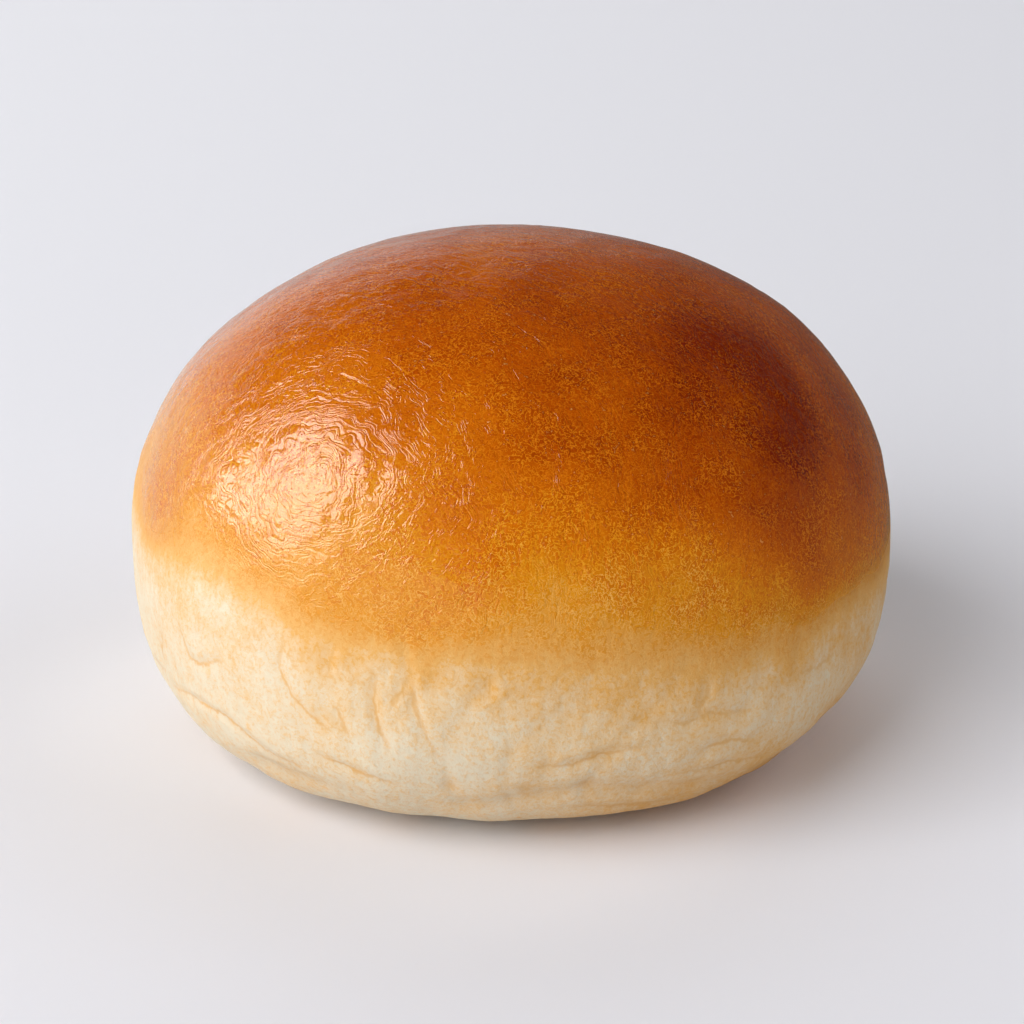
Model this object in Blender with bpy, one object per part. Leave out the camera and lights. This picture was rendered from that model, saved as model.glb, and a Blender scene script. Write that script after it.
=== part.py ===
"""A round bun, glazed on top and baked on a flat tray, as one solid.

The body is a dome over a bulging side band that tucks in to a flat foot. The band holds
soft pleats, creases, a roll along the foot and a few puckers. Lengths are in metres, +Z is
up, the front faces -Y, and the foot lies in the plane z = 0 with the origin at its middle.
"""

import math
import random

import bmesh
import bpy
import numpy as np
from mathutils import noise

MM = 0.001

# Driving dimensions
BELLY_RADIUS = 50.0 * MM
HEIGHT = 63.7 * MM
BELLY_HEIGHT = 0.40 * HEIGHT
FOOT_RADIUS = 0.66 * BELLY_RADIUS
FOOT_LEAN = -1.3 * MM  # the dough sagged to the left of its own top
LEAN_HEIGHT = 18.0 * MM

# How full the outline is: 1 gives the quarter of an ellipse, less gives a fuller one
DOME_REACH = 0.95
DOME_RISE = 0.92
TUCK_REACH = 1.45
TUCK_RISE = 0.66

# Uneven proving
SWELLS = ((27.0 * MM, 0.62 * MM), (12.0 * MM, 0.22 * MM))  # width and height of a swell
PLAN_UNEVEN = 0.6 * MM
FOOT_UNEVEN = 0.9 * MM
FOOT_FADE = 4.0 * MM  # the relief dies out towards the foot, which stays flat

# Where the dough sagged outwards, low down at the front right
SAG_BULGE = 1.5 * MM
SAG_AZIMUTH = 46.0  # degrees from the front
SAG_HEIGHT = 13.0 * MM
SAG_LENGTH, SAG_RISE = 20.0 * MM, 8.0 * MM

# Soft upright pleats in the pale band
PLEAT_WIDTH = 8.0 * MM
PLEAT_LENGTH = 24.0 * MM
PLEAT_DEPTH = 0.15 * MM
PLEAT_SLANT = 6.0 * MM
PLEAT_TOP = 31.0 * MM
PLEAT_FADE = 9.0 * MM

# Creases that show from the front, each a run of places: azimuth in degrees from the front and
# height in mm
FRONT_CREASES = (
    ((-15, 32.1), (-14, 26.8), (-13, 21.2), (-11, 16.9), (-10, 15.2)),
    ((-14, 26.8), (-15, 24.1), (-17, 21.5)),
    ((-33, 28.4), (-34, 24.0), (-32, 20.9), (-29, 18.6), (-25, 16.8)),
    ((-19, 26.5), (-19, 20.5), (-17, 15.5)),
    ((-25, 29.2), (-26, 24.5)),
    ((-25, 20.8), (-23, 17.2)),
    ((-56, 24.5), (-53, 20.0), (-50, 20.1), (-45, 22.2)),
    ((-64, 12.4), (-55, 13.9), (-46, 14.1), (-41, 12.2), (-37, 10.4), (-31, 10.7)),
    ((-29, 13.4), (-21, 11.7), (-16, 10.4)),
    ((-3, 27.0), (-3, 23.5)),
    ((3, 14.2), (8, 14.1), (12, 15.5), (20, 16.4)),
    ((20, 19.6), (25, 18.4), (28, 19.3), (36, 18.1)),
    ((26, 14.4), (32, 15.1), (37, 13.8)),
    ((25, 11.2), (33, 11.6), (41, 10.8)),
    ((44, 20.6), (49, 20.0), (54, 20.6)),
    ((28, 24.0), (28, 21.5), (26, 19.2)),
    ((8, 6.6), (15, 5.8), (24, 5.5), (30, 6.2)),
)
CREASE_DEPTH = 0.35 * MM
CREASE_HALF_WIDTH = 1.35 * MM
BACK_CREASES = 20
BACK_FROM, BACK_TO = 66, 300  # azimuths in degrees, round the sides and the back
SEED = 11

# The roll that the dough formed against the tray
ROLL_HEIGHT = 8.2 * MM
ROLL_WANDER = 1.6 * MM
ROLL_BULGE = 0.35 * MM
ROLL_GROOVE = 0.45 * MM

# Puckers above the roll: azimuth in degrees, height in mm and depth in mm
PUCKERS = ((11, 10.7, 0.5), (2, 10.5, 0.45), (-9, 10.8, 0.4), (96, 10.0, 0.5), (171, 11.4, 0.5), (238, 9.6, 0.4))
PUCKER_RADIUS = 1.9 * MM

# Mesh: segments along one edge of the cube that the body is shaped from
SEGMENTS = 32
SIDE_SHARE = 0.62  # of the outline's length, given to the upright faces of that cube
OUTLINE_STEPS = 400

CRUST_COLOUR = (0.42, 0.11, 0.012, 1.0)
CRUST_ROUGHNESS = 0.35


def clear_scene():
    for old in list(bpy.data.objects):
        bpy.data.objects.remove(old, do_unlink=True)


def ease(values, low, high):
    """0 below low, 1 above high, and a smooth step between."""
    t = np.clip((values - low) / (high - low), 0.0, 1.0)
    return t * t * (3.0 - 2.0 * t)


def noise_at(points):
    return np.array([noise.noise(point) for point in points])


def outline():
    """Radius and height along the outline, from the foot's edge up to the top."""
    turn = np.linspace(0.0, math.pi / 2, OUTLINE_STEPS)
    tuck_radius = FOOT_RADIUS + (BELLY_RADIUS - FOOT_RADIUS) * np.sin(turn) ** TUCK_REACH
    tuck_height = BELLY_HEIGHT * (1.0 - np.cos(turn) ** TUCK_RISE)
    dome_radius = BELLY_RADIUS * np.abs(np.cos(turn)) ** DOME_REACH
    dome_height = BELLY_HEIGHT + (HEIGHT - BELLY_HEIGHT) * np.sin(turn) ** DOME_RISE
    dome_radius[-1] = 0.0
    radius = np.concatenate([tuck_radius, dome_radius[1:]])
    height = np.concatenate([tuck_height, dome_height[1:]])
    return radius, height


def on_outline(share):
    """Radius and height at a share of the outline's length."""
    radius, height = outline()
    length = np.concatenate([[0.0], np.cumsum(np.hypot(np.diff(radius), np.diff(height)))])
    along = share * length[-1]
    return np.interp(along, length, radius), np.interp(along, length, height)


def round_body(cube):
    """Points of a gridded cube from -1 to 1, moved on to the turned body.

    The upright faces become the side, the top face the crown and the bottom face the foot.
    """
    x, y, z = cube.T
    reach = np.maximum(np.abs(x), np.abs(y))
    across = np.where(reach > 0, reach, 1.0)
    along_x = np.abs(x) >= np.abs(y)
    corner = math.pi / 4
    azimuth = np.where(
        along_x,
        corner * y / across + np.where(x < 0, math.pi, 0.0),
        math.pi / 2 - corner * x / across,
    )
    azimuth = np.where(~along_x & (y < 0), -math.pi / 2 + corner * x / across, azimuth)
    azimuth = np.where(along_x & (x < 0), math.pi - corner * y / across, azimuth)
    share = np.where(
        z > 1.0 - 1e-6,
        SIDE_SHARE + (1.0 - SIDE_SHARE) * (1.0 - reach),
        SIDE_SHARE * (z + 1.0) / 2.0,
    )
    radius, height = on_outline(share)
    foot = z < -1.0 + 1e-6
    radius = np.where(foot, FOOT_RADIUS * reach, radius)
    height = np.where(foot, 0.0, height)
    return np.column_stack([radius * np.cos(azimuth), radius * np.sin(azimuth), height])


def uneven_plan(points):
    """The body pushed a little out of round and leaned, most of all at its foot."""
    x, y, z = points.T
    radius = np.hypot(x, y)
    safe = np.where(radius > 0, radius, 1.0)
    ring = np.column_stack([x / safe * 1.3, y / safe * 1.3, z / (40.0 * MM) + 3.0])
    scallop = np.column_stack([x / safe * 4.5, y / safe * 4.5, np.full_like(z, 9.0)])
    low = 1.0 - ease(z, 0.0, LEAN_HEIGHT)
    push = PLAN_UNEVEN * noise_at(ring) + FOOT_UNEVEN * low * noise_at(scallop)
    grow = 1.0 + push * np.minimum(1.0, radius / FOOT_RADIUS) / BELLY_RADIUS
    return np.column_stack([x * grow + FOOT_LEAN * low, y * grow, z])


def side_place(points):
    """Azimuth from the front and height of each point."""
    return np.arctan2(points[:, 0], -points[:, 1]), points[:, 2]


def turn_from(azimuth, place):
    """How far each azimuth is from a place, between minus and plus half a turn."""
    return (azimuth - place + math.pi) % (2 * math.pi) - math.pi


def creases():
    """Every crease: the ones seen from the front, then seeded ones for the rest."""
    draw = random.Random(SEED)
    found = list(FRONT_CREASES)
    for count in range(BACK_CREASES):
        azimuth = BACK_FROM + (BACK_TO - BACK_FROM) * (count + draw.random()) / BACK_CREASES
        height = draw.uniform(12.0, 27.0)
        lies_flat = count % 3 == 0
        turn = draw.uniform(10, 18) if lies_flat else draw.uniform(2, 7) * draw.choice((-1, 1))
        drop = draw.uniform(-2.0, 2.0) if lies_flat else draw.uniform(6.0, 11.0)
        middle = (azimuth + turn * draw.uniform(0.3, 0.7), height - drop * draw.uniform(0.3, 0.7))
        found.append(((azimuth, height), middle, (azimuth + turn, max(10.0, height - drop))))
    return found


def nearest_crease(azimuth, height):
    """Distance to the nearest crease, less than 0 on its other side, and its strength there."""
    off = np.full_like(height, 9.0 * MM)
    strength = np.zeros_like(height)
    for run in creases():
        middle = math.radians(run[0][0])
        turn = turn_from(azimuth, middle) * BELLY_RADIUS
        line = [((math.radians(place) - middle) * BELLY_RADIUS, rise * MM) for place, rise in run]
        total = sum(math.dist(start, end) for start, end in zip(line, line[1:]))
        gone = 0.0
        for start, end in zip(line, line[1:]):
            step, climb = end[0] - start[0], end[1] - start[1]
            length = math.hypot(step, climb)
            share = ((turn - start[0]) * step + (height - start[1]) * climb) / length**2
            share = np.clip(share, 0.0, 1.0)
            across = turn - start[0] - share * step
            up = height - start[1] - share * climb
            distance = np.hypot(across, up)
            taper = np.sin(math.pi * np.clip((gone + share * length) / total, 0.0, 1.0))
            closer = distance < np.abs(off)
            off = np.where(closer, np.where(step * up >= climb * across, distance, -distance), off)
            strength = np.where(closer, np.sqrt(taper), strength)
            gone += length
    return off, strength


def crease_relief(azimuth, height):
    """Grooves along the creases, tapering to nothing at both ends."""
    off, strength = nearest_crease(azimuth, height)
    return -CREASE_DEPTH * strength * np.exp(-((off / CREASE_HALF_WIDTH) ** 2))


def pleat_relief(azimuth, height):
    """Upright folds: broad soft backs with narrower valleys between them."""
    turns = BELLY_RADIUS / PLEAT_WIDTH
    slant = azimuth + PLEAT_SLANT / BELLY_RADIUS * np.sin(height / PLEAT_WIDTH + 2.0 * azimuth)
    ring = np.column_stack([np.cos(slant) * turns, np.sin(slant) * turns, height / PLEAT_LENGTH + 5.0])
    valley = (1.0 - np.minimum(1.0, 2.6 * np.abs(noise_at(ring)))) ** 2
    band = ease(height, FOOT_FADE, 2 * FOOT_FADE) * (1.0 - ease(height, PLEAT_TOP - PLEAT_FADE, PLEAT_TOP))
    return -PLEAT_DEPTH * valley * band


def roll_relief(azimuth, height):
    """The rounded roll at the foot, with a wandering groove over it that comes and goes."""
    wander = np.column_stack([np.cos(azimuth) * 2.1, np.sin(azimuth) * 2.1, np.full_like(height, 2.0)])
    fade = np.column_stack([np.cos(azimuth) * 2.7, np.sin(azimuth) * 2.7, np.full_like(height, 6.0)])
    middle = ROLL_HEIGHT + ROLL_WANDER * 2.0 * noise_at(wander)
    strength = ease(noise_at(fade), -0.35, 0.25)
    groove = np.exp(-(((height - middle) / (1.5 * MM)) ** 2))
    bulge = np.exp(-(((height - 0.45 * middle) / (2.6 * MM)) ** 2))
    return strength * (ROLL_BULGE * bulge - ROLL_GROOVE * groove)


def pucker_relief(azimuth, height):
    relief = np.zeros_like(height)
    for place, at_height, depth in PUCKERS:
        turn = turn_from(azimuth, math.radians(place))
        distance = np.hypot(turn * BELLY_RADIUS, height - at_height * MM)
        relief -= depth * MM * np.exp(-((distance / PUCKER_RADIUS) ** 2))
    return relief


def sag_relief(azimuth, height):
    turn = turn_from(azimuth, math.radians(SAG_AZIMUTH)) * BELLY_RADIUS
    return SAG_BULGE * np.exp(-((turn / SAG_LENGTH) ** 2) - ((height - SAG_HEIGHT) / SAG_RISE) ** 2)


def swell_relief(points):
    relief = np.zeros(len(points))
    for width, depth in SWELLS:
        relief += depth * noise_at(points / width)
    return relief


def relief_at(points):
    """How far the surface stands out from the plain form, along its normal."""
    azimuth, height = side_place(points)
    relief = swell_relief(points)
    relief += sag_relief(azimuth, height)
    relief += pleat_relief(azimuth, height)
    relief += crease_relief(azimuth, height)
    relief += roll_relief(azimuth, height)
    relief += pucker_relief(azimuth, height)
    return relief * ease(height, 0.0, FOOT_FADE)


def make_crust():
    material = bpy.data.materials.new("baked crust")
    material.use_nodes = True
    material.diffuse_color = CRUST_COLOUR
    shader = material.node_tree.nodes["Principled BSDF"]
    shader.inputs["Base Color"].default_value = CRUST_COLOUR
    shader.inputs["Roughness"].default_value = CRUST_ROUGHNESS
    shader.inputs["Metallic"].default_value = 0.0
    return material


def shape_body(body):
    """Moves the grid's points: the turned form, its unevenness, then the relief."""
    body.verts.ensure_lookup_table()
    cube = np.array([vertex.co for vertex in body.verts])
    points = uneven_plan(round_body(cube))
    for vertex, point in zip(body.verts, points):
        vertex.co = point
    body.normal_update()
    normals = np.array([vertex.normal for vertex in body.verts])
    points += normals * relief_at(points)[:, None]
    points[cube[:, 2] < -1.0 + 1e-6, 2] = 0.0
    middle = (points.min(axis=0) + points.max(axis=0)) / 2
    points[:, :2] -= middle[:2]
    for vertex, point in zip(body.verts, points):
        vertex.co = point


def flatten_foot(body):
    """One flat face in place of the grid under the foot."""
    under = [face for face in body.faces if all(vertex.co.z == 0.0 for vertex in face.verts)]
    bmesh.ops.dissolve_faces(body, faces=under, use_verts=True)


def make_bun(collection):
    body = bmesh.new()
    bmesh.ops.create_cube(body, size=2.0)
    bmesh.ops.subdivide_edges(body, edges=body.edges[:], cuts=SEGMENTS - 1, use_grid_fill=True)
    shape_body(body)
    flatten_foot(body)
    bmesh.ops.recalc_face_normals(body, faces=body.faces[:])
    mesh = bpy.data.meshes.new("bun")
    body.to_mesh(mesh)
    body.free()
    mesh.materials.append(make_crust())
    mesh.shade_smooth()
    mesh.set_sharp_from_angle(angle=math.radians(60))
    bun = bpy.data.objects.new("bun", mesh)
    collection.objects.link(bun)
    return bun


def main():
    clear_scene()
    collection = bpy.data.collections.new("glazed bun")
    bpy.context.scene.collection.children.link(collection)
    make_bun(collection)


main()
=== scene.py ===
"""A glazed bread bun on a pale studio floor.

The bun is one piece: a dome that was brushed with egg and baked brown, over a pale side band
that stayed soft, with pleats, creases and a roll along the flat foot. Its form is the solid's
own, repeated with a finer mesh and finer relief. Four values ride on the mesh for the finish:
how far each point is baked, with painted light and shade at the sides of the pale band in it,
the tint of its folds, how deep it sits in a crease, and how far off the nearest crease is.
Lengths are in metres, +Z is up and the front faces -Y.
"""

import math
import random

import bmesh
import bpy
import numpy as np
from bpy.props import FloatProperty, FloatVectorProperty, IntProperty, PointerProperty
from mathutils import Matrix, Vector, noise


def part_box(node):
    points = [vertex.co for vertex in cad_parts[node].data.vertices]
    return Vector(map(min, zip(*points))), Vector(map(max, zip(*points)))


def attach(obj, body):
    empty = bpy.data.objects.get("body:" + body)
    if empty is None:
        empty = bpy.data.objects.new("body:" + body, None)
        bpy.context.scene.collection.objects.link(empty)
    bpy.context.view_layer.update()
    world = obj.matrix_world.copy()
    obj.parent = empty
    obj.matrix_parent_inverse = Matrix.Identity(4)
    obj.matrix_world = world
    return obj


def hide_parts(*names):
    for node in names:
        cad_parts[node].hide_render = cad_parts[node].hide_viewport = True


bl_info = {
    "name": "Glazed Bread Bun",
    "version": (1, 0, 0),
    "blender": (4, 5, 0),
    "location": "View3D > Sidebar > Bun",
    "description": "Makes an egg-washed bread bun and a small studio to look at it in",
    "category": "Add Mesh",
}

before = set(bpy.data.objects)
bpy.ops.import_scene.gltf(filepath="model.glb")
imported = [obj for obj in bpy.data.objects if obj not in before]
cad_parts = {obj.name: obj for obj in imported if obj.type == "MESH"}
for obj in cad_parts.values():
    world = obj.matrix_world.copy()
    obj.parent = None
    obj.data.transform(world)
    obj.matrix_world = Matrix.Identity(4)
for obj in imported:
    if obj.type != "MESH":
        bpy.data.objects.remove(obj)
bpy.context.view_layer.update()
BUN_LOW, BUN_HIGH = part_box("bun")

MM = 0.001

# The plain form's own measures, as the solid has them
BELLY_RADIUS = 50.0 * MM
HEIGHT = 63.7 * MM
LEAN_HEIGHT = 18.0 * MM
FOOT_FADE = 4.0 * MM  # the relief dies out towards the foot, which stays flat
SWELLS = ((27.0 * MM, 0.62 * MM), (12.0 * MM, 0.22 * MM))  # width and height of a swell
OUTLINE_STEPS = 400
FULL_TURN = 2 * math.pi


# Small tools


def ease(values, low, high):
    """0 below low, 1 above high, and a smooth step between."""
    t = np.clip((values - low) / (high - low), 0.0, 1.0)
    return t * t * (3.0 - 2.0 * t)


def noise_at(points):
    """Smooth noise between about -1 and 1 at each point."""
    return np.array([noise.noise(point) for point in points.tolist()])


def ridges_at(points):
    """1 along thin wandering lines, falling off to 0 between them."""
    return 1.0 - np.minimum(1.0, 2.6 * np.abs(noise_at(points)))


def ring_at(azimuth, reach, level):
    """Places round a ring, for noise that runs round the bun: more reach makes it finer."""
    across = np.cos(azimuth) * reach
    along = np.sin(azimuth) * reach
    return np.column_stack([across, along, np.broadcast_to(level, azimuth.shape)])


def turn_from(azimuth, place):
    """How far each azimuth is from a place, between minus and plus half a turn."""
    return (azimuth - place + math.pi) % FULL_TURN - math.pi


# The bun's form


def outline(shape):
    """Radius and height along the outline, from the foot's edge up to the top."""
    turn = np.linspace(0.0, math.pi / 2, OUTLINE_STEPS)
    belly = shape.belly_share * HEIGHT
    foot = shape.foot_radius
    tuck_radius = foot + (BELLY_RADIUS - foot) * np.sin(turn) ** shape.tuck_reach
    tuck_height = belly * (1.0 - np.cos(turn) ** shape.tuck_rise)
    dome_radius = BELLY_RADIUS * np.abs(np.cos(turn)) ** shape.dome_reach
    dome_height = belly + (HEIGHT - belly) * np.sin(turn) ** shape.dome_rise
    dome_radius[-1] = 0.0
    return np.append(tuck_radius, dome_radius[1:]), np.append(tuck_height, dome_height[1:])


def round_body(cube, shape):
    """Points of a gridded cube from -1 to 1, moved on to the turned body.

    The upright faces become the side, the top face the crown and the bottom face the foot.
    """
    x, y, z = cube.T
    reach = np.maximum(np.abs(x), np.abs(y))
    across = np.where(reach > 0, reach, 1.0)
    eighth = math.pi / 4
    by_x = np.where(x < 0, math.pi - eighth * y / across, eighth * y / across)
    by_y = np.where(y < 0, eighth * x / across - math.pi / 2, math.pi / 2 - eighth * x / across)
    azimuth = np.where(np.abs(x) >= np.abs(y), by_x, by_y)
    side = shape.side_share
    share = np.where(z > 1.0 - 1e-6, side + (1.0 - side) * (1.0 - reach), side * (z + 1.0) / 2.0)
    radius, height = outline(shape)
    length = np.append(0.0, np.cumsum(np.hypot(np.diff(radius), np.diff(height))))
    out = np.interp(share * length[-1], length, radius)
    up = np.interp(share * length[-1], length, height)
    under = z < -1.0 + 1e-6
    out = np.where(under, shape.foot_radius * reach, out)
    up = np.where(under, 0.0, up)
    return np.column_stack([out * np.cos(azimuth), out * np.sin(azimuth), up])


def uneven_plan(points, shape):
    """The body pushed a little out of round and leaned, most of all at its foot."""
    x, y, z = points.T
    radius = np.hypot(x, y)
    safe = np.where(radius > 0, radius, 1.0)
    ring = np.column_stack([x / safe * 1.3, y / safe * 1.3, z / (40.0 * MM) + 3.0])
    scallop = np.column_stack([x / safe * 4.5, y / safe * 4.5, np.full_like(z, 9.0)])
    low = 1.0 - ease(z, 0.0, LEAN_HEIGHT)
    push = shape.plan_uneven * noise_at(ring) + shape.foot_uneven * low * noise_at(scallop)
    grow = 1.0 + push * np.minimum(1.0, radius / shape.foot_radius) / BELLY_RADIUS
    return np.column_stack([x * grow + shape.foot_lean * low, y * grow, z])


# Creases that show from the front, each a run of places: azimuth in degrees from the front and
# height in mm
FRONT_CREASES = (
    ((-15, 32.1), (-14, 26.8), (-13, 21.2), (-11, 16.9), (-10, 15.2)),
    ((-14, 26.8), (-15, 24.1), (-17, 21.5)),
    ((-33, 28.4), (-34, 24.0), (-32, 20.9), (-29, 18.6), (-25, 16.8)),
    ((-19, 26.5), (-19, 20.5), (-17, 15.5)),
    ((-25, 29.2), (-26, 24.5)),
    ((-25, 20.8), (-23, 17.2)),
    ((-56, 24.5), (-53, 20.0), (-50, 20.1), (-45, 22.2)),
    ((-64, 12.4), (-55, 13.9), (-46, 14.1), (-41, 12.2), (-37, 10.4), (-31, 10.7)),
    ((-29, 13.4), (-21, 11.7), (-16, 10.4)),
    ((-3, 27.0), (-3, 23.5)),
    ((3, 14.2), (8, 14.1), (12, 15.5), (20, 16.4)),
    ((20, 19.6), (25, 18.4), (28, 19.3), (36, 18.1)),
    ((26, 14.4), (32, 15.1), (37, 13.8)),
    ((25, 11.2), (33, 11.6), (41, 10.8)),
    ((44, 20.6), (49, 20.0), (54, 20.6)),
    ((28, 24.0), (28, 21.5), (26, 19.2)),
    ((8, 6.6), (15, 5.8), (24, 5.5), (30, 6.2)),
)
BACK_CREASES = 20
BACK_FROM, BACK_TO = 66, 300
CREASE_SEED = 11
CREASE_HALF_WIDTH = 0.75 * MM
# The lip along one side of a crease: how far off, how wide, and its height for the crease's depth
LIP_OFFSET, LIP_HALF_WIDTH, LIP_SHARE = 1.3 * MM, 0.9 * MM, 0.45

# Where the pleats of the pale band begin to fade, and where they end
PLEAT_FADE, PLEAT_TOP = 22.0 * MM, 31.0 * MM

# Puckers over the foot's roll: azimuth in degrees, height in mm and depth in mm
PUCKERS = (
    (11, 10.7, 0.24),
    (2, 10.5, 0.2),
    (-9, 10.8, 0.2),
    (96, 10.0, 0.3),
    (171, 11.4, 0.3),
    (238, 9.6, 0.25),
)
PUCKER_RADIUS = 1.3 * MM
PIT_RADIUS = 1.1 * MM  # of the tint in it
# The short folds that run in to a pucker: how many, how far out, and their spread
SPOKES, SPOKE_REACH, SPOKE_SPREAD = 7, 2.6 * MM, 1.6 * MM

# Where the dough sagged: from the front, above the floor, and its spread along and up
SAG_AZIMUTH = math.radians(46.0)
SAG_HEIGHT = 13.0 * MM
SAG_LENGTH = 20.0 * MM
SAG_RISE = 8.0 * MM


def creases():
    """Every crease: the ones seen from the front, then seeded ones for the rest."""
    draw = random.Random(CREASE_SEED)
    found = list(FRONT_CREASES)
    for count in range(BACK_CREASES):
        azimuth = BACK_FROM + (BACK_TO - BACK_FROM) * (count + draw.random()) / BACK_CREASES
        height = draw.uniform(12.0, 27.0)
        lies_flat = count % 3 == 0
        turn = draw.uniform(10, 18) if lies_flat else draw.uniform(2, 7) * draw.choice((-1, 1))
        drop = draw.uniform(-2.0, 2.0) if lies_flat else draw.uniform(6.0, 11.0)
        middle = (azimuth + turn * draw.uniform(0.3, 0.7), height - drop * draw.uniform(0.3, 0.7))
        found.append(((azimuth, height), middle, (azimuth + turn, max(10.0, height - drop))))
    return found


def nearest_crease(azimuth, height):
    """Distance to the nearest crease, less than 0 on its other side, and its strength there."""
    off = np.full_like(height, 9.0 * MM)
    strength = np.zeros_like(height)
    for run in creases():
        middle = math.radians(run[0][0])
        turn = turn_from(azimuth, middle) * BELLY_RADIUS
        line = [((math.radians(place) - middle) * BELLY_RADIUS, rise * MM) for place, rise in run]
        total = sum(math.dist(start, end) for start, end in zip(line, line[1:]))
        gone = 0.0
        for start, end in zip(line, line[1:]):
            step, climb = end[0] - start[0], end[1] - start[1]
            length = math.hypot(step, climb)
            share = ((turn - start[0]) * step + (height - start[1]) * climb) / length**2
            share = np.clip(share, 0.0, 1.0)
            across = turn - start[0] - share * step
            up = height - start[1] - share * climb
            distance = np.hypot(across, up)
            taper = np.sin(math.pi * np.clip((gone + share * length) / total, 0.0, 1.0))
            closer = distance < np.abs(off)
            off = np.where(closer, np.where(step * up >= climb * across, distance, -distance), off)
            strength = np.where(closer, np.sqrt(taper), strength)
            gone += length
    return off, strength


def pleat_field(azimuth, height, shape):
    """Valleys between the upright folds of the pale band."""
    turns = BELLY_RADIUS / shape.pleat_width
    slant = azimuth + 6.0 * MM / BELLY_RADIUS * np.sin(height / shape.pleat_width + 2.0 * azimuth)
    ring = ring_at(slant, turns, height / (24.0 * MM) + 5.0)
    band = ease(height, FOOT_FADE, 2 * FOOT_FADE) * (1.0 - ease(height, PLEAT_FADE, PLEAT_TOP))
    return ridges_at(ring) ** 2 * band


def roll_relief(azimuth, height, shape):
    """The rounded roll at the foot, with a wandering groove over it that comes and goes."""
    middle = shape.roll_height + 3.2 * MM * noise_at(ring_at(azimuth, 2.1, 2.0))
    strength = ease(noise_at(ring_at(azimuth, 2.7, 6.0)), -0.35, 0.25)
    groove = strength * np.exp(-(((height - middle) / (1.5 * MM)) ** 2))
    bulge = strength * np.exp(-(((height - 0.45 * middle) / (2.6 * MM)) ** 2))
    return shape.roll_bulge * bulge - shape.roll_groove * groove, groove


def pucker_relief(azimuth, height):
    """Small pits over the roll, each with short folds that run in to it, and where the pits are."""
    relief = np.zeros_like(height)
    pits = np.zeros_like(height)
    for place, at_height, depth in PUCKERS:
        across = turn_from(azimuth, math.radians(place)) * BELLY_RADIUS
        up = height - at_height * MM
        distance = np.hypot(across, up)
        spoke = 0.5 + 0.5 * np.cos(SPOKES * np.arctan2(up, across) + place)
        beside = np.exp(-(((distance - SPOKE_REACH) / SPOKE_SPREAD) ** 2))
        relief -= depth * MM * np.exp(-((distance / PUCKER_RADIUS) ** 2))
        relief -= 0.2 * depth * MM * spoke * beside
        pits += np.exp(-((distance / PIT_RADIUS) ** 2))
    return relief, pits


def side_ripples(points, azimuth, height):
    """Fine folds of the pale band, where the skin shrank as it cooled."""
    fold = ring_at(azimuth, 14.0, height / (9.0 * MM) + 2.0)
    cross = points / (3.4 * MM)
    band = 1.0 - ease(height, 25.0 * MM, 33.0 * MM)
    return band * (-0.08 * MM * ridges_at(fold) ** 2 + 0.06 * MM * noise_at(cross))


def crown_ripples(points, height):
    """The leathery unevenness of the glazed crust."""
    flow = np.column_stack([noise_at(points / (16.0 * MM) + shift) for shift in (3.0, 11.0, 23.0)])
    bent = points / (4.2 * MM) + 2.6 * flow
    finer = points / (2.1 * MM) + 4.0 * flow
    crown = ease(height, 24.0 * MM, 36.0 * MM)
    return crown * (0.085 * MM * noise_at(bent) + 0.045 * MM * noise_at(finer))


def sag_relief(azimuth, height, shape):
    """Where the dough sagged outwards, low down at the front right."""
    along = turn_from(azimuth, SAG_AZIMUTH) * BELLY_RADIUS / SAG_LENGTH
    up = (height - SAG_HEIGHT) / SAG_RISE
    return shape.sag_bulge * np.exp(-(along**2) - up**2)


def swell_relief(points):
    """The broad, soft swells of uneven proving."""
    return sum(depth * noise_at(points / width) for width, depth in SWELLS)


def bun_relief(points, shape):
    """How far the surface stands out from the plain form, and what the finish shows of its folds.

    Those are the tint of the folds, the depth of the creases, and the distance in mm to the
    nearest crease, less than 0 on its other side.
    """
    azimuth = np.arctan2(points[:, 0], -points[:, 1])
    height = points[:, 2]
    pleats = pleat_field(azimuth, height, shape)
    off, strength = nearest_crease(azimuth, height)
    groove = strength * np.exp(-((off / CREASE_HALF_WIDTH) ** 2))
    lip = strength * np.exp(-(((off - LIP_OFFSET) / LIP_HALF_WIDTH) ** 2))
    roll, roll_groove = roll_relief(azimuth, height, shape)
    puckers, pits = pucker_relief(azimuth, height)
    relief = swell_relief(points) + sag_relief(azimuth, height, shape) + roll + puckers
    relief -= shape.pleat_depth * pleats
    relief += shape.crease_depth * (LIP_SHARE * lip - groove)
    relief += side_ripples(points, azimuth, height) + crown_ripples(points, height)
    fold = np.clip(0.25 * groove + 0.9 * pits + 0.2 * pleats + 0.35 * roll_groove, 0.0, 1.0)
    return relief * ease(height, 0.0, FOOT_FADE), fold, groove, off / MM


# Where the glaze ran down: from the front to its middle, and how far it spreads
DIP_AZIMUTH = math.radians(17.0)
DIP_WIDTH = math.radians(22.0)
# The least that the side away from the oven's warm side is baked, against the warm side's 1
COOL_SIDE = -0.12
# Browning of the pale band: evenly, in patches, and more of it towards the right. The side part is
# partly painted light: the band is paler where the lamps at the left shine on it, and tanner on the
# shaded right
BLUSH, BLUSH_PATCHES, BLUSH_AND_PAINTED_LIGHT_SIDE = 0.045, 0.035, 0.03
# Browning along the foot: all round, more at the right, and how far up it reaches. The extra at the
# right is partly painted shade, on the low band that is turned away from the lamps
FOOT_BROWN, FOOT_BROWN_AND_SHADE_SIDE, FOOT_BROWN_HEIGHT = 0.02, 0.22, 9.0 * MM


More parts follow.
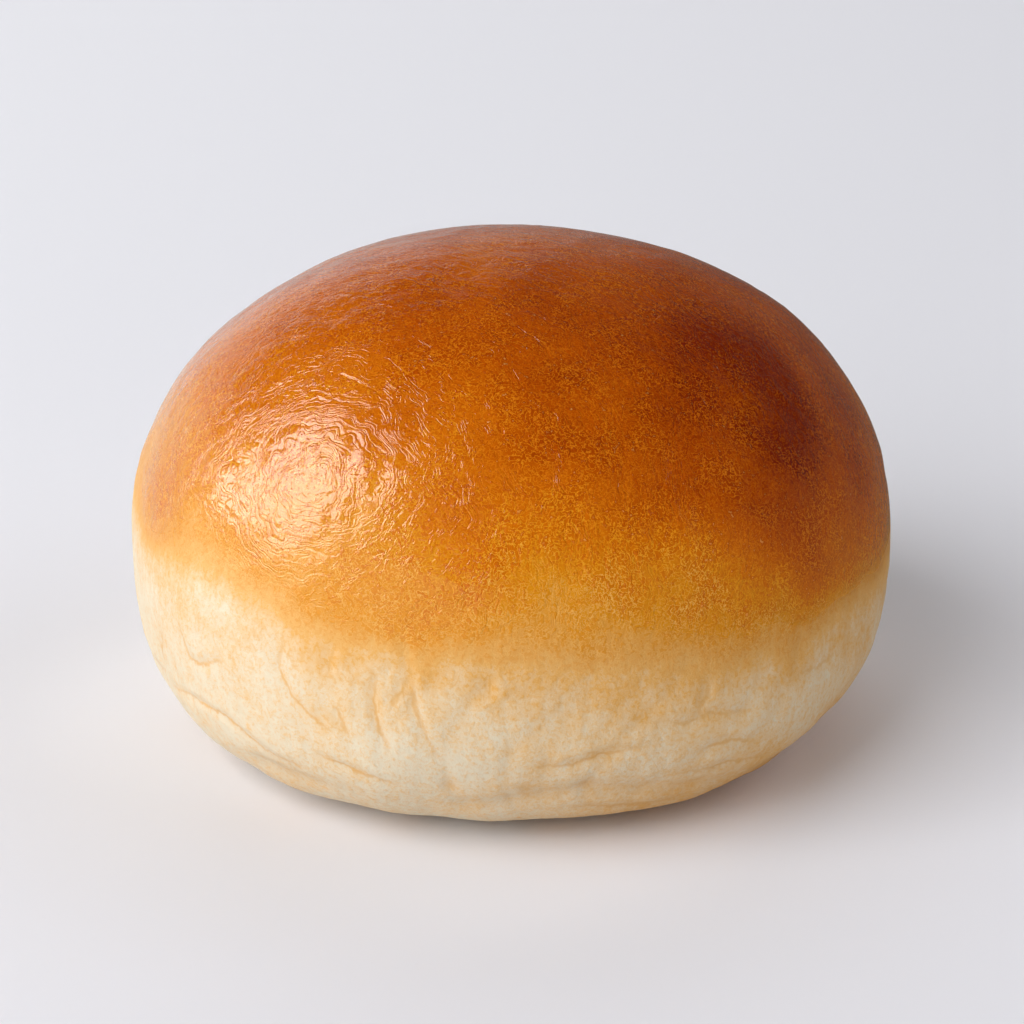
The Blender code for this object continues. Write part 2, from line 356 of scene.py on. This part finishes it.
def baked_field(points, bake):
    """How far each point is baked: 0 for raw-pale dough, 1 for the darkest crust. Along the pale
    band and its foot it also holds painted light and shade: paler on the lit left, tanner on the
    shaded right.
    """
    x, y, height = points.T
    azimuth = np.arctan2(x, -y)
    radius = np.hypot(x, y) / BELLY_RADIUS
    side = np.sin(azimuth)
    to_left = np.minimum(side, 0.0)
    to_right = np.maximum(side, 0.0)
    line = bake.line_height + bake.line_wander * noise_at(ring_at(azimuth, 1.7, 4.0))
    line += 0.5 * bake.line_wander * noise_at(points / (7.0 * MM))
    line -= bake.line_tilt * to_left
    line -= bake.line_dip * np.exp(-((turn_from(azimuth, DIP_AZIMUTH) / DIP_WIDTH) ** 2))
    glazed = ease(height, line - 0.5 * bake.line_blur, line + 0.5 * bake.line_blur)
    rise = np.clip((height - line) / (HEIGHT - line), 0.0, 1.0)
    warm = radius * np.maximum(np.cos(turn_from(azimuth, bake.warm_azimuth)), COOL_SIDE)
    hot_x = bake.hot_reach * math.sin(bake.hot_azimuth)
    hot_y = -bake.hot_reach * math.cos(bake.hot_azimuth)
    hot = np.exp(-((x - hot_x) ** 2 + (y - hot_y) ** 2) / bake.hot_width**2)
    hot *= 1.0 + 0.6 * noise_at(points / (10.0 * MM) + 4.0)
    patches = noise_at(points / (18.0 * MM) + 7.0) + 0.6 * noise_at(points / (8.0 * MM) + 1.0)
    crown = bake.gold + bake.rise * rise**0.7 + bake.warm * warm
    crown += bake.hot * hot + bake.patchy * patches
    below = np.maximum(line - height, 0.0)
    smear = 1.0 + 0.7 * noise_at(points / (6.0 * MM) + 5.0)
    tail = bake.tail * np.exp(-below / bake.tail_length) * smear * (1.0 + 0.6 * to_left)
    # The side term paints the band paler on the lit left and tanner on the shaded right
    blush = BLUSH + BLUSH_PATCHES * noise_at(points / (9.0 * MM) + 2.0) + BLUSH_AND_PAINTED_LIGHT_SIDE * side
    # Painted shade in part: the foot is tanner on the shaded right
    foot = FOOT_BROWN + FOOT_BROWN_AND_SHADE_SIDE * to_right
    foot *= np.exp(-((height / FOOT_BROWN_HEIGHT) ** 2))
    return np.clip(glazed * crown + (1.0 - glazed) * (tail + blush + foot), 0.0, 1.0)


class BunShape(bpy.types.PropertyGroup):
    """The bun's outline, its unevenness and its folds"""

    segments: IntProperty(
        name="Segments",
        description="Faces along one edge of the cube it starts from",
        default=126,
        min=16,
        max=128,
    )
    side_share: FloatProperty(
        name="Side share",
        description="Share of the outline made from the cube's upright faces",
        default=0.62,
    )
    belly_share: FloatProperty(
        name="Belly height",
        description="Where the bun is widest, as a share of its height",
        default=0.40,
    )
    foot_radius: FloatProperty(
        name="Foot radius",
        description="Radius of the flat foot",
        default=0.66 * BELLY_RADIUS,
        unit="LENGTH",
    )
    foot_lean: FloatProperty(
        name="Foot lean",
        description="How far the foot sits to one side",
        default=-1.3 * MM,
        unit="LENGTH",
    )
    dome_reach: FloatProperty(
        name="Dome reach",
        description="Fullness of the dome's shoulder",
        default=0.95,
    )
    dome_rise: FloatProperty(
        name="Dome rise",
        description="Fullness of the dome's top",
        default=0.92,
    )
    tuck_reach: FloatProperty(
        name="Tuck reach",
        description="How late the side tucks in",
        default=1.45,
    )
    tuck_rise: FloatProperty(
        name="Tuck rise",
        description="How upright the side starts",
        default=0.66,
    )
    plan_uneven: FloatProperty(
        name="Out of round",
        description="How far the plan strays from a circle",
        default=0.6 * MM,
        unit="LENGTH",
    )
    foot_uneven: FloatProperty(
        name="Foot scallops",
        description="How far the foot's edge wanders",
        default=0.9 * MM,
        unit="LENGTH",
    )
    sag_bulge: FloatProperty(
        name="Sag",
        description="How far the dough sagged outwards low at one side",
        default=1.5 * MM,
        unit="LENGTH",
    )
    pleat_width: FloatProperty(
        name="Pleat width",
        description="Width of a soft upright pleat",
        default=8.0 * MM,
        unit="LENGTH",
    )
    pleat_depth: FloatProperty(
        name="Pleat depth",
        description="Depth of the valleys between pleats",
        default=0.15 * MM,
        unit="LENGTH",
    )
    crease_depth: FloatProperty(
        name="Crease depth",
        description="Depth of a crease in the pale band",
        default=0.22 * MM,
        unit="LENGTH",
    )
    roll_height: FloatProperty(
        name="Roll height",
        description="Height of the roll along the foot",
        default=8.2 * MM,
        unit="LENGTH",
    )
    roll_bulge: FloatProperty(
        name="Roll bulge",
        description="How far the roll stands out",
        default=0.35 * MM,
        unit="LENGTH",
    )
    roll_groove: FloatProperty(
        name="Roll groove",
        description="Depth of the groove over the roll",
        default=0.45 * MM,
        unit="LENGTH",
    )


class BunBake(bpy.types.PropertyGroup):
    """Where the bun browned, and its colours"""

    line_height: FloatProperty(
        name="Glaze line",
        description="Height where the brushed glaze ends",
        default=27.2 * MM,
        unit="LENGTH",
    )
    line_wander: FloatProperty(
        name="Line wander",
        description="How far the glaze line strays",
        default=1.6 * MM,
        unit="LENGTH",
    )
    line_tilt: FloatProperty(
        name="Line tilt",
        description="How much higher the glaze line is at the left",
        default=2.4 * MM,
        unit="LENGTH",
    )
    line_dip: FloatProperty(
        name="Line dip",
        description="How far the glaze ran down at the front",
        default=1.4 * MM,
        unit="LENGTH",
    )
    line_blur: FloatProperty(
        name="Line blur",
        description="Width of the fade at the glaze line",
        default=10.0 * MM,
        unit="LENGTH",
    )
    tail: FloatProperty(
        name="Smear",
        description="Browning just below the glaze line",
        default=0.15,
        min=0,
        max=1,
    )
    tail_length: FloatProperty(
        name="Smear length",
        description="How far down that browning reaches",
        default=4.5 * MM,
        unit="LENGTH",
    )
    gold: FloatProperty(
        name="Gold",
        description="Browning just above the glaze line",
        default=0.084,
        min=0,
        max=1,
    )
    rise: FloatProperty(
        name="Rise",
        description="Extra browning at the top",
        default=0.64,
        min=0,
        max=1,
    )
    warm: FloatProperty(
        name="Warm side",
        description="Extra browning towards the oven's warm side",
        default=0.155,
    )
    warm_azimuth: FloatProperty(
        name="Warm azimuth",
        description="From the front to the warm side",
        default=math.radians(49),
        subtype="ANGLE",
    )
    hot: FloatProperty(
        name="Hot spot",
        description="Extra browning in the darkest spot",
        default=0.30,
    )
    hot_azimuth: FloatProperty(
        name="Spot azimuth",
        description="From the front to the dark spot",
        default=math.radians(60),
        subtype="ANGLE",
    )
    hot_reach: FloatProperty(
        name="Spot reach",
        description="From the bun's middle out to the dark spot",
        default=41.0 * MM,
        unit="LENGTH",
    )
    hot_width: FloatProperty(
        name="Spot width",
        description="How far the dark spot spreads",
        default=18.0 * MM,
        unit="LENGTH",
    )
    patchy: FloatProperty(
        name="Patches",
        description="Strength of the uneven browning",
        default=0.125,
    )
    cream: FloatVectorProperty(
        name="Cream",
        description="The palest dough",
        subtype="COLOR",
        size=4,
        default=(0.735, 0.635, 0.465, 1),
    )
    pale: FloatVectorProperty(
        name="Pale",
        description="The unbrowned dough",
        subtype="COLOR",
        size=4,
        default=(0.745, 0.535, 0.30, 1),
    )
    straw: FloatVectorProperty(
        name="Straw",
        description="The first colour at the glaze line",
        subtype="COLOR",
        size=4,
        default=(0.73, 0.39, 0.105, 1),
    )
    golden: FloatVectorProperty(
        name="Golden",
        description="The lightest glazed crust",
        subtype="COLOR",
        size=4,
        default=(0.67, 0.25, 0.006, 1),
    )
    amber: FloatVectorProperty(
        name="Amber",
        description="The usual glazed crust",
        subtype="COLOR",
        size=4,
        default=(0.57, 0.134, 0.002, 1),
    )
    brown: FloatVectorProperty(
        name="Brown",
        description="The well baked crown",
        subtype="COLOR",
        size=4,
        default=(0.40, 0.064, 0.0005, 1),
    )
    dark: FloatVectorProperty(
        name="Dark",
        description="The darkest crust on the hot side",
        subtype="COLOR",
        size=4,
        default=(0.175, 0.012, 0.0003, 1),
    )
    # Painted highlight: the colour of lighter curls on the glaze, which stand in for glints of
    # light on the tops of its wrinkles
    glint_and_fibre_squiggle: FloatVectorProperty(
        name="Squiggle",
        description="The lighter tops of the finest wrinkles",
        subtype="COLOR",
        size=4,
        default=(0.86, 0.40, 0.025, 1),
    )
    # Painted highlight: the colour of pale specks that stand in for tiny glints of light on the
    # glaze
    painted_glint_fleck: FloatVectorProperty(
        name="Fleck",
        description="Specks of thick egg wash",
        subtype="COLOR",
        size=4,
        default=(0.95, 0.50, 0.11, 1),
    )
    fold: FloatVectorProperty(
        name="Fold",
        description="The amber tint in the pale band's creases",
        subtype="COLOR",
        size=4,
        default=(0.68, 0.36, 0.10, 1),
    )


class BunStudio(bpy.types.PropertyGroup):
    """The floor, the lights and the camera"""

    floor: FloatVectorProperty(
        name="Floor",
        description="Colour of the floor",
        subtype="COLOR",
        size=4,
        default=(0.80, 0.80, 0.85, 1),
    )
    # Painted light: the lighter colour that the floor takes far off at the left, for the brighter
    # light there
    far_floor_painted_light: FloatVectorProperty(
        name="Far floor",
        description="Colour of the floor far off at the left",
        subtype="COLOR",
        size=4,
        default=(0.90, 0.90, 0.95, 1),
    )
    key_power: FloatProperty(
        name="Key",
        description="Power of the softbox at the left",
        default=0.6,
        unit="POWER",
    )
    shine_power: FloatProperty(
        name="Shine",
        description="Power of the softbox in the bun's gloss",
        default=10.0,
        unit="POWER",
    )
    left_power: FloatProperty(
        name="Left wash",
        description="Power of the wide light at the left",
        default=45.0,
        unit="POWER",
    )
    back_power: FloatProperty(
        name="Back wash",
        description="Power of the wide light behind",
        default=14.0,
        unit="POWER",
    )
    right_power: FloatProperty(
        name="Right wash",
        description="Power of the wide light at the right",
        default=15.5,
        unit="POWER",
    )
    front_power: FloatProperty(
        name="Front wash",
        description="Power of the wide light in front",
        default=6.0,
        unit="POWER",
    )
    wall: FloatProperty(
        name="Backdrop",
        description="Brightness of the room near the horizon",
        default=1.0,
    )
    camera_distance: FloatProperty(
        name="Distance",
        description="From the bun's middle to the camera",
        default=0.400,
        unit="LENGTH",
    )
    camera_elevation: FloatProperty(
        name="Elevation",
        description="Camera's angle above the horizon",
        default=math.radians(22),
        subtype="ANGLE",
    )
    lens: FloatProperty(name="Lens", description="Focal length in millimetres", default=106.7)
    drop: FloatProperty(
        name="Drop",
        description="How far the camera aims below the bun's middle",
        default=4.1 * MM,
        unit="LENGTH",
    )


# Shader maths


class Field:
    """A shader value. Plain arithmetic on it adds the Math nodes."""

    def __init__(self, paint, socket):
        self.paint = paint
        self.socket = socket

    def maths(self, operation, first, second=None):
        values = {0: first} if second is None else {0: first, 1: second}
        return self.paint.node("ShaderNodeMath", {"operation": operation}, values)[0]

    def __add__(self, other):
        return self.maths("ADD", self, other)

    def __radd__(self, other):
        return self.maths("ADD", other, self)

    def __sub__(self, other):
        return self.maths("SUBTRACT", self, other)

    def __rsub__(self, other):
        return self.maths("SUBTRACT", other, self)

    def __mul__(self, other):
        return self.maths("MULTIPLY", self, other)

    def __rmul__(self, other):
        return self.maths("MULTIPLY", other, self)

    def __truediv__(self, other):
        return self.maths("DIVIDE", self, other)

    def __abs__(self):
        return self.maths("ABSOLUTE", self)


class Paint:
    """Adds nodes to the tree of one material or world."""

    def __init__(self, tree):
        self.tree = tree

    def node(self, kind, settings=None, values=None):
        """A new node's outputs as fields, after its settings, then its values and links."""
        made = self.tree.nodes.new(kind)
        for name, setting in (settings or {}).items():
            if name == "stops":
                self.set_stops(made.color_ramp, setting)
            else:
                setattr(made, name, setting)
        for name, value in (values or {}).items():
            if isinstance(value, Field):
                self.tree.links.new(value.socket, made.inputs[name])
            else:
                made.inputs[name].default_value = value
        return [Field(self, socket) for socket in made.outputs if socket.enabled]

    def set_stops(self, ramp, stops):
        ramp.interpolation = "LINEAR"
        while len(ramp.elements) < len(stops):
            ramp.elements.new(1.0)
        for element, (position, colour) in zip(ramp.elements, stops):
            element.position = position
            element.color = colour

    def link(self, field, socket):
        self.tree.links.new(field.socket, socket)

    def place(self):
        """The piece's own coordinates in millimetres."""
        coordinates = self.node("ShaderNodeTexCoord")[3]
        return self.scaled(coordinates, 1000.0)

    def scaled(self, vector, by):
        values = {"Vector": vector, "Scale": by}
        return self.node("ShaderNodeVectorMath", {"operation": "SCALE"}, values)[0]

    def vectors(self, operation, first, second):
        """Vector Math on two vectors."""
        return self.node("ShaderNodeVectorMath", {"operation": operation}, {0: first, 1: second})[0]

    def noise(self, place, size, detail, roughness):
        """Noise between 0 and 1, with features about size millimetres across."""
        values = {"Vector": place, "Scale": 1.0 / size, "Detail": detail, "Roughness": roughness}
        return self.node("ShaderNodeTexNoise", None, values)[0]

    def between(self, field, low, high, smooth=True):
        """0 where the field is below low, 1 above high."""
        settings = {"interpolation_type": "SMOOTHSTEP" if smooth else "LINEAR"}
        values = {"Value": field, "From Min": low, "From Max": high}
        return self.node("ShaderNodeMapRange", settings, values)[0]

    def attribute(self, name):
        return self.node("ShaderNodeAttribute", {"attribute_name": name})[2]

    def blend(self, share, first, second):
        """A mix of two colours."""
        settings = {"data_type": "RGBA", "blend_type": "MIX", "clamp_factor": True}
        return self.node("ShaderNodeMix", settings, {0: share, 6: first, 7: second})[0]


# The spot at the front of the dome, in mm, that the wrinkles run round
WRINKLE_MIDDLE = (-23.0, -36.0, 47.0)
# How far the rings sway, in mm
WRINKLE_SWAY = 9.0
# Heights of the finish's fine relief, in mm: the wrinkles, and what they gain far from their
# middle, the leathery glaze and its beads, and the dough
FINE_WRINKLE, FAR_WRINKLE, WIDE_WRINKLE = 0.022, 0.024, 0.030
LEATHER, BEAD = 0.075, 0.020
BLOTCH, CRUMB = 0.07, 0.10


def crust_material(bake):
    """The glaze with its hair-fine wrinkles, and the soft, blotched dough under it."""
    material = bpy.data.materials.new("baked crust")
    material.use_nodes = True
    shader = material.node_tree.nodes["Principled BSDF"]
    paint = Paint(material.node_tree)
    place = paint.place()
    baked = paint.attribute("baked")
    glaze = paint.between(baked, 0.16, 0.42)
    dough = 1.0 - glaze
    mottle = paint.noise(place, 5.0, detail=3.0, roughness=0.65)
    tall = paint.vectors("MULTIPLY", place, (1.0, 1.0, 0.6))
    blotch = paint.noise(tall, 1.3, detail=2.0, roughness=0.65)
    grain = paint.noise(place, 0.45, detail=1.0, roughness=0.5)
    flow = paint.noise(place, 6.0, detail=2.0, roughness=0.55)
    away = paint.vectors("DISTANCE", place, WRINKLE_MIDDLE)
    x, y, z = paint.node("ShaderNodeSeparateXYZ", None, {"Vector": place})
    bent = away + flow * WRINKLE_SWAY

    def wrinkle(spacing, length):
        """Noise drawn out along rings round the wrinkles' middle."""
        values = {0: bent / spacing, 1: (x + y) / length, 2: z / length}
        along = paint.node("ShaderNodeCombineXYZ", None, values)[0]
        return paint.noise(along, 1.0, detail=1.0, roughness=0.5)

    fine = paint.between(abs(wrinkle(0.60, 2.1) - 0.5), 0.0, 0.10, smooth=False)
    wide = paint.between(abs(wrinkle(3.2, 5.0) - 0.5), 0.0, 0.08)
    # Thin wandering lines: whitish fibres in the dough, and painted glints on the glaze
    glint_and_fibre_squiggle = paint.between(abs(grain - 0.5), 0.07, 0.0, smooth=False)
    bead = paint.between(grain, 0.58, 0.72)
    # Where the lines on the glaze are painted glints, in clusters
    painted_glint_curls = glint_and_fibre_squiggle * (0.40 + paint.between(mottle, 0.40, 0.64) * 0.55)
    crumb = paint.noise(place, 0.9, detail=3.0, roughness=0.75)

    tone = baked + (mottle - 0.5) * (0.14 + glaze * 0.14) + (blotch - 0.5) * (0.11 + glaze * 0.05)
    tone = tone + (grain - 0.5) * (0.04 + glaze * 0.13)
    # On the glaze the curls are painted glints, lighter on a slightly darker base; in the dough the
    # same lines are whitish fibres
    tone = tone + glaze * (0.04 - painted_glint_curls * 0.30) + dough * ((crumb - 0.5) * 0.20 - glint_and_fibre_squiggle * 0.03)
    stops = (
        (0.0, bake.cream),
        (0.07, bake.pale),
        (0.17, bake.straw),
        (0.34, bake.golden),
        (0.52, bake.amber),
        (0.74, bake.brown),
        (1.0, bake.dark),
    )
    colour = paint.node("ShaderNodeValToRGB", {"stops": stops}, {"Fac": tone})[0]
    # Painted highlight: the glint curls are tinted towards the lighter glint colour
    colour = paint.blend(painted_glint_curls * glaze * (0.50 - baked * 0.42), colour, tuple(bake.glint_and_fibre_squiggle))
    # Sparse pale specks on the glaze: painted glints
    painted_glint_fleck = paint.between(grain, 0.66, 0.76) * paint.between(blotch, 0.46, 0.60)
    colour = paint.blend(painted_glint_fleck * glaze * (0.75 - baked * 0.55), colour, tuple(bake.painted_glint_fleck))
    line = paint.attribute("crease_off") + (blotch - 0.5) * 1.6
    thread = paint.between(abs(line), 0.40, 0.05) * paint.attribute("crease")
    tinted = (thread * mottle * 1.1 + paint.attribute("fold") * 0.55) * dough
    colour = paint.blend(tinted, colour, tuple(bake.fold))
    paint.link(colour, shader.inputs["Base Color"])

    roughness = 0.62 - glaze * 0.525 + (mottle - 0.5) * 0.06
    paint.link(roughness, shader.inputs["Roughness"])

    far = paint.between(away, 22.0, 60.0)
    skin = fine * (FINE_WRINKLE + far * FAR_WRINKLE) + wide * WIDE_WRINKLE
    skin = skin + mottle * LEATHER + bead * BEAD
    relief = skin * glaze + (blotch * BLOTCH + crumb * CRUMB) * dough
    values = {"Strength": 1.0, "Distance": MM, "Height": relief}
    bump = paint.node("ShaderNodeBump", None, values)[0]
    paint.link(bump, shader.inputs["Normal"])

    shader.inputs["IOR"].default_value = 1.5
    shader.inputs["Specular Tint"].default_value = (1.0, 0.94, 0.85, 1.0)
    return material


# Making the bun


def cube_grid(segments):
    """A cube from -1 to 1 with an even grid on each face."""
    body = bmesh.new()
    bmesh.ops.create_cube(body, size=2.0)
    bmesh.ops.subdivide_edges(body, edges=body.edges[:], cuts=segments - 1, use_grid_fill=True)
    mesh = bpy.data.meshes.new("bun body")
    body.to_mesh(mesh)
    body.free()
    return mesh


def read_points(mesh):
    flat = np.empty(len(mesh.vertices) * 3)
    mesh.vertices.foreach_get("co", flat)
    return flat.reshape(-1, 3)


def set_points(mesh, points):
    mesh.vertices.foreach_set("co", points.ravel())
    mesh.update()


def read_normals(mesh):
    flat = np.empty(len(mesh.vertices) * 3)
    mesh.vertex_normals.foreach_get("vector", flat)
    return flat.reshape(-1, 3)


def set_values(mesh, name, values):
    layer = mesh.attributes.new(name, "FLOAT", "POINT")
    layer.data.foreach_set("value", values.astype(np.float32))


def lay_out_map(mesh, cube):
    """A flat map for paint: one tile for each face of the cube that the bun came from."""
    corner = np.empty(len(mesh.loops), dtype=np.int32)
    mesh.loops.foreach_get("vertex_index", corner)
    places = cube[corner].reshape(-1, 4, 3)
    middle = places.mean(axis=1)
    axis = np.abs(middle).argmax(axis=1)
    front = np.take_along_axis(middle, axis[:, None], axis=1)[:, 0] > 0
    across = np.where(axis == 0, 1, 0)
    up = np.where(axis == 2, 1, 2)
    rows = np.arange(len(places))
    u = places[rows, :, across]
    v = places[rows, :, up]
    margin = 0.985
    tile_u = (axis[:, None] + 0.5 + 0.5 * margin * u) / 3
    tile_v = (front[:, None] + 0.5 + 0.5 * margin * v) / 2
    layer = mesh.uv_layers.new(name="OFBake")
    layer.data.foreach_set("uv", np.stack([tile_u, tile_v], axis=-1).ravel().astype(np.float32))


def shape_bun(shape, bake):
    """The bun's mesh: the solid's form with finer relief, and the values its finish reads."""
    mesh = cube_grid(shape.segments)
    cube = read_points(mesh)
    points = uneven_plan(round_body(cube, shape), shape)
    set_points(mesh, points)
    relief, fold, groove, off = bun_relief(points, shape)
    points = points + read_normals(mesh) * relief[:, None]
    under = cube[:, 2] < -1.0 + 1e-6
    points[under, 2] = 0.0
    middle = (points.min(axis=0) + points.max(axis=0)) / 2
    target = (np.array(BUN_LOW) + np.array(BUN_HIGH)) / 2
    points[:, :2] += (target - middle)[:2]
    set_points(mesh, points)
    set_values(mesh, "baked", baked_field(points, bake))
    set_values(mesh, "fold", fold)
    set_values(mesh, "crease", groove)
    set_values(mesh, "crease_off", off)
    lay_out_map(mesh, cube)
    mesh.shade_smooth()
    return mesh


class BUN_OT_bake(bpy.types.Operator):
    """Make the bun and its crust"""

    bl_idname = "bun.bake"
    bl_label = "Bake the Bun"

    def execute(self, context):
        shape = context.scene.bun_shape
        bake = context.scene.bun_bake
        bun = bpy.data.objects.new("bun_crust", shape_bun(shape, bake))
        bun.data.materials.append(crust_material(bake))
        context.scene.collection.objects.link(bun)
        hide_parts("bun")
        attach(bun, "root")
        return {"FINISHED"}


# The studio


# Where the floor's colour has turned into the far floor's lighter one, in mm, and how much more
# quickly it turns towards the left than towards the back. This is painted light: the floor is
# painted brighter far off at the left, where the lamps light it
FAR_FLOOR, FLOOR_SLANT = 700.0, 2.2


def add_floor(studio):
    """The floor, painted lighter far off at the left as painted light. The bun's gloss doesn't see
    it: what it sees is the room's own lower half.
    """
    body = bmesh.new()
    bmesh.ops.create_grid(body, x_segments=8, y_segments=8, size=3.0)
    mesh = bpy.data.meshes.new("studio floor")
    body.to_mesh(mesh)
    body.free()
    floor = bpy.data.objects.new("studio_floor", mesh)
    material = bpy.data.materials.new("pale paper")
    material.use_nodes = True
    shader = material.node_tree.nodes["Principled BSDF"]
    paint = Paint(material.node_tree)
    x, y, _ = paint.node("ShaderNodeSeparateXYZ", None, {"Vector": paint.place()})
    far = paint.between(y - x * FLOOR_SLANT, 0.0, FAR_FLOOR, smooth=False)
    colour = paint.blend(far, tuple(studio.floor), tuple(studio.far_floor_painted_light))
    paint.link(colour, shader.inputs["Base Color"])
    shader.inputs["Roughness"].default_value = 0.9
    shader.inputs["Specular IOR Level"].default_value = 0.1
    mesh.materials.append(material)
    floor.visible_glossy = False
    bpy.context.scene.collection.objects.link(floor)


def direction(azimuth, elevation):
    """A unit vector: azimuth in degrees from the front, positive to the right."""
    a, e = math.radians(azimuth), math.radians(elevation)
    return Vector((math.sin(a) * math.cos(e), -math.cos(a) * math.cos(e), math.sin(e)))


# The lamps: azimuth and elevation in degrees, distance, width and height in metres, which of the
# studio's powers each takes, and whether it shows in glossy reflections
LAMPS = (
    ("softbox left", -80, 36, 0.90, 0.50, 0.50, "key_power", False),
    ("shine left", -82, 34.5, 0.90, 0.60, 0.57, "shine_power", True),
    ("wash left", -51, 40, 2.20, 2.0, 1.6, "left_power", False),
    ("wash back", 180, 40, 2.20, 2.0, 1.6, "back_power", False),
    ("wash right", 90, 35, 2.20, 2.0, 1.6, "right_power", False),
    ("wash front", -35, 12, 2.20, 2.0, 0.7, "front_power", False),
)


def add_light(name, azimuth, elevation, distance, width, height, power, in_gloss):
    """A flat lamp aimed at the bun, that shows in glossy reflections alone or in all but them."""
    light = bpy.data.lights.new(name, "AREA")
    light.shape = "RECTANGLE"
    light.size = width
    light.size_y = height
    light.energy = power
    lamp = bpy.data.objects.new(name, light)
    way = direction(azimuth, elevation)
    lamp.location = way * distance
    lamp.rotation_euler = way.to_track_quat("Z", "Y").to_euler()
    lamp.visible_glossy = in_gloss
    lamp.visible_diffuse = not in_gloss
    lamp.visible_camera = False
    bpy.context.scene.collection.objects.link(lamp)


# The room's brightness: everywhere, what the horizon adds, and what it adds more at the left
ROOM, ROOM_LOW, ROOM_LEFT = 0.02, 0.08, 0.82


def light_room(wall):
    """A room that is bright near the horizon at the left, and dim overhead and at the right."""
    world = bpy.data.worlds.new("studio room")
    world.use_nodes = True
    paint = Paint(world.node_tree)
    sky = world.node_tree.nodes["Background"]
    sky.inputs["Color"].default_value = (1.0, 1.0, 1.0, 1.0)
    way = paint.node("ShaderNodeTexCoord")[0]
    x, _, z = paint.node("ShaderNodeSeparateXYZ", None, {"Vector": way})
    low = 1.0 - paint.between(z, 0.26, 0.46)
    left = paint.between(x, 0.20, -0.35)
    level = (ROOM + low * (ROOM_LOW + left * ROOM_LEFT)) * wall
    paint.link(level, sky.inputs["Strength"])
    bpy.context.scene.world = world


def add_camera(studio):
    camera = bpy.data.cameras.new("camera")
    camera.lens = studio.lens
    camera.sensor_width = 36.0
    camera.clip_start = 0.01
    holder = bpy.data.objects.new("camera", camera)
    elevation = studio.camera_elevation
    back = direction(0.0, math.degrees(elevation))
    up = Vector((0.0, math.sin(elevation), math.cos(elevation)))
    middle = Vector((0.13 * MM, 0.0, HEIGHT / 2)) - up * studio.drop
    holder.location = middle + back * studio.camera_distance
    holder.rotation_euler = back.to_track_quat("Z", "Y").to_euler()
    bpy.context.scene.collection.objects.link(holder)
    bpy.context.scene.camera = holder


class BUN_OT_stage(bpy.types.Operator):
    """Set the floor, the lights and the camera round the bun"""

    bl_idname = "bun.stage"
    bl_label = "Set the Studio"

    def execute(self, context):
        studio = context.scene.bun_studio
        add_floor(studio)
        for name, azimuth, elevation, distance, width, height, power, in_gloss in LAMPS:
            watts = getattr(studio, power)
            add_light(name, azimuth, elevation, distance, width, height, watts, in_gloss)
        light_room(studio.wall)
        add_camera(studio)
        context.scene.view_settings.view_transform = "Standard"
        return {"FINISHED"}


class BUN_PT_panel(bpy.types.Panel):
    """The bun's settings and buttons"""

    bl_idname = "BUN_PT_panel"
    bl_label = "Bread Bun"
    bl_space_type = "VIEW_3D"
    bl_region_type = "UI"
    bl_category = "Bun"

    def draw(self, context):
        scene = context.scene
        for heading, group, button in (
            ("Shape", scene.bun_shape, None),
            ("Bake", scene.bun_bake, "bun.bake"),
            ("Studio", scene.bun_studio, "bun.stage"),
        ):
            box = self.layout.box()
            box.label(text=heading)
            for name in group.__annotations__:
                box.prop(group, name)
            if button:
                box.operator(button)


CLASSES = (BunShape, BunBake, BunStudio, BUN_OT_bake, BUN_OT_stage, BUN_PT_panel)


def register():
    for cls in CLASSES:
        bpy.utils.register_class(cls)
    bpy.types.Scene.bun_shape = PointerProperty(type=BunShape)
    bpy.types.Scene.bun_bake = PointerProperty(type=BunBake)
    bpy.types.Scene.bun_studio = PointerProperty(type=BunStudio)


def unregister():
    del bpy.types.Scene.bun_studio
    del bpy.types.Scene.bun_bake
    del bpy.types.Scene.bun_shape
    for cls in reversed(CLASSES):
        bpy.utils.unregister_class(cls)


def main():
    register()
    bpy.ops.bun.bake()
    bpy.ops.bun.stage()


if __name__ == "__main__":
    main()
